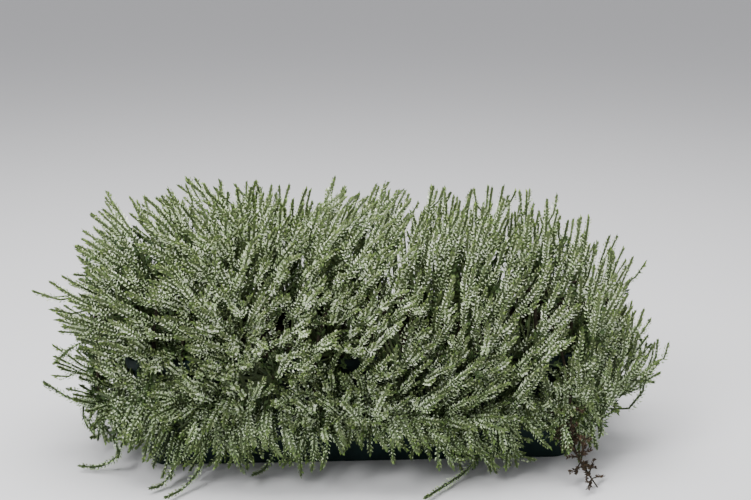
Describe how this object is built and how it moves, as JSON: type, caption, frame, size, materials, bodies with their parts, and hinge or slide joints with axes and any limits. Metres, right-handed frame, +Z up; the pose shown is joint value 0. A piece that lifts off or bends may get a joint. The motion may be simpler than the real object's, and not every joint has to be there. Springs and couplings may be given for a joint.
{
  "type": "potted heather",
  "caption": "Bushy heather with slender pale budded spires all round, planted in a dark oblong trough planter and hanging over its rim.",
  "frame": {"origin": "middle of the planter's flat base, at the height it rests on", "axes": "+Z up, +X along the planter's long side to the viewer's right, -Y towards the front"},
  "size_m": [0.7748, 0.3184, 0.3434],
  "materials": {
    "planter": "dark teal-green plastic, satin",
    "soil": "crumbly dark compost",
    "woody_stems": "rough brown bark",
    "foliage": "soft pale green-white buds and olive green leaves"
  },
  "bodies": {
    "root": {"planter": "planter", "soil": "soil", "left_woody_stems": "woody_stems", "middle_woody_stems": "woody_stems", "right_woody_stems": "woody_stems", "left_spray_01": "foliage", "left_spray_02": "foliage", "left_spray_03": "foliage", "left_spray_04": "foliage", "left_spray_05": "foliage", "left_spray_06": "foliage", "left_spray_07": "foliage", "left_spray_08": "foliage", "left_spray_09": "foliage", "left_spray_10": "foliage", "left_spray_11": "foliage", "left_spray_12": "foliage", "left_spray_13": "foliage", "left_spray_14": "foliage", "left_spray_15": "foliage", "left_spray_16": "foliage", "left_spray_17": "foliage", "left_spray_18": "foliage", "left_spray_19": "foliage", "middle_spray_01": "foliage", "middle_spray_02": "foliage", "middle_spray_03": "foliage", "middle_spray_04": "foliage", "middle_spray_05": "foliage", "middle_spray_06": "foliage", "middle_spray_07": "foliage", "middle_spray_08": "foliage", "middle_spray_09": "foliage", "right_spray_01": "foliage", "right_spray_02": "foliage", "right_spray_03": "foliage", "right_spray_04": "foliage", "right_spray_05": "foliage", "right_spray_06": "foliage", "right_spray_07": "foliage", "right_spray_08": "foliage", "right_spray_09": "foliage", "right_spray_10": "foliage", "right_spray_11": "foliage", "right_spray_12": "foliage", "right_spray_13": "foliage", "right_spray_14": "foliage", "right_spray_15": "foliage", "right_spray_16": "foliage"}
  },
  "joints": []
}
